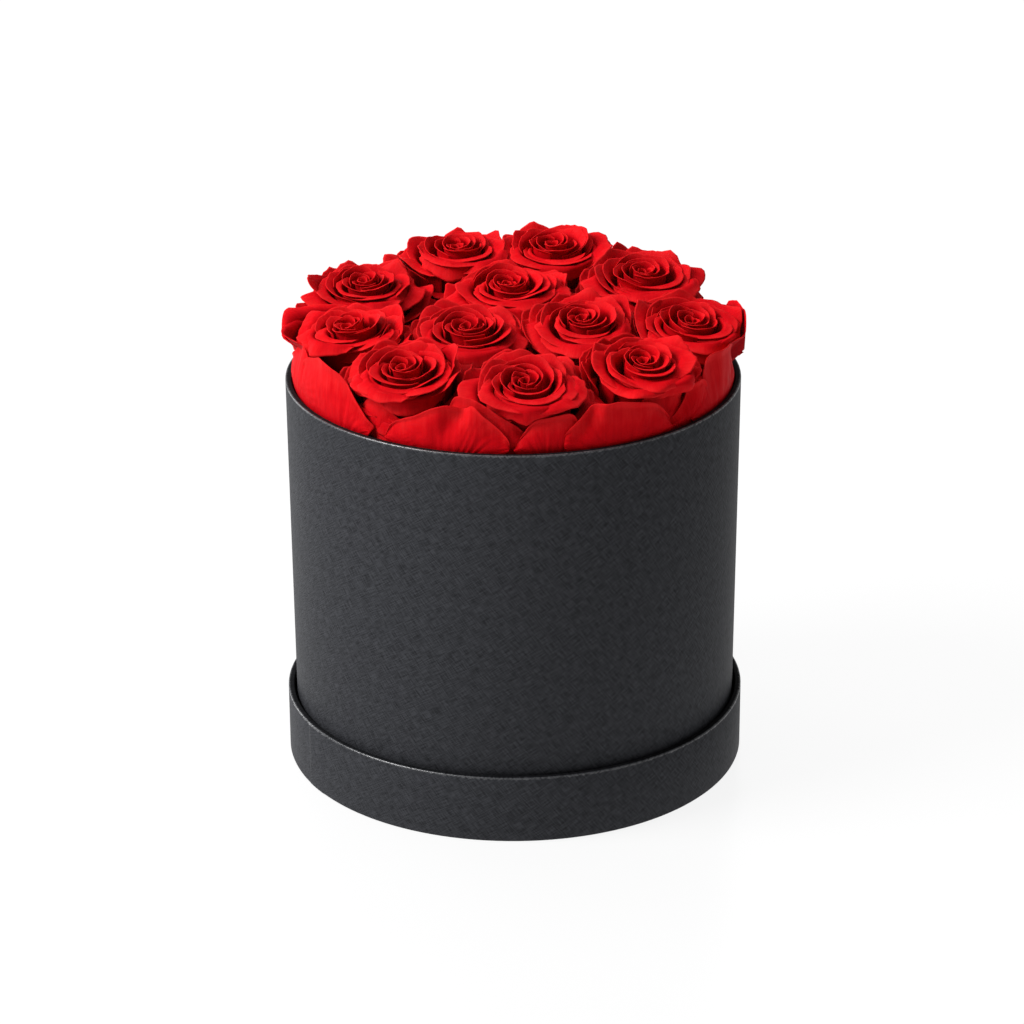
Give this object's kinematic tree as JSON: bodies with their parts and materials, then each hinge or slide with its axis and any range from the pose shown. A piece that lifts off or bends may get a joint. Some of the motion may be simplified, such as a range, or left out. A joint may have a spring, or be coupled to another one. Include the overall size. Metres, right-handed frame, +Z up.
{
  "type": "flower box",
  "caption": "Round black leatherette hat box of red preserved roses, standing in its own upturned lid.",
  "frame": {"origin": "middle of the flat underside, the outside of the upturned lid, on the table plane", "axes": "+Z up along the axis of the box; the front, as pictured, faces -Y"},
  "size_m": [0.187, 0.187, 0.1977],
  "materials": {
    "leatherette": "fine cross-hatched emboss, satin",
    "greyboard": "matte",
    "lining_paper": "matte",
    "dry_foam": "matte, open cells",
    "rose_green": "matte",
    "rose_petal": "velvety"
  },
  "bodies": {
    "lid": {"lid_cover": "leatherette", "lid_panel": "greyboard", "lid_band": "greyboard", "lid_wrap": "leatherette", "lid_paper": "lining_paper"},
    "box": {"box_base_paper": "lining_paper", "box_base": "greyboard", "box_wall": "greyboard", "box_wrap": "leatherette", "box_lining": "lining_paper", "foam_block": "dry_foam", "rose_01_stem": "rose_green", "rose_01_guard_petals": "rose_petal", "rose_01_petals": "rose_petal", "rose_01_heart": "rose_petal", "rose_02_stem": "rose_green", "rose_02_guard_petals": "rose_petal", "rose_02_petals": "rose_petal", "rose_02_heart": "rose_petal", "rose_03_stem": "rose_green", "rose_03_guard_petals": "rose_petal", "rose_03_petals": "rose_petal", "rose_03_heart": "rose_petal", "rose_04_stem": "rose_green", "rose_04_guard_petals": "rose_petal", "rose_04_petals": "rose_petal", "rose_04_heart": "rose_petal", "rose_05_stem": "rose_green", "rose_05_guard_petals": "rose_petal", "rose_05_petals": "rose_petal", "rose_05_heart": "rose_petal", "rose_06_stem": "rose_green", "rose_06_guard_petals": "rose_petal", "rose_06_petals": "rose_petal", "rose_06_heart": "rose_petal", "rose_07_stem": "rose_green", "rose_07_guard_petals": "rose_petal", "rose_07_petals": "rose_petal", "rose_07_heart": "rose_petal", "rose_08_stem": "rose_green", "rose_08_guard_petals": "rose_petal", "rose_08_petals": "rose_petal", "rose_08_heart": "rose_petal", "rose_09_stem": "rose_green", "rose_09_guard_petals": "rose_petal", "rose_09_petals": "rose_petal", "rose_09_heart": "rose_petal", "rose_10_stem": "rose_green", "rose_10_guard_petals": "rose_petal", "rose_10_petals": "rose_petal", "rose_10_heart": "rose_petal", "rose_11_stem": "rose_green", "rose_11_guard_petals": "rose_petal", "rose_11_petals": "rose_petal", "rose_11_heart": "rose_petal", "rose_12_stem": "rose_green", "rose_12_guard_petals": "rose_petal", "rose_12_petals": "rose_petal", "rose_12_heart": "rose_petal"}
  },
  "joints": [
    {"name": "box_lift", "type": "slide", "parent": "lid", "child": "box", "axis": [0, 0, 1], "range_m": [0, 0.06]}
  ]
}
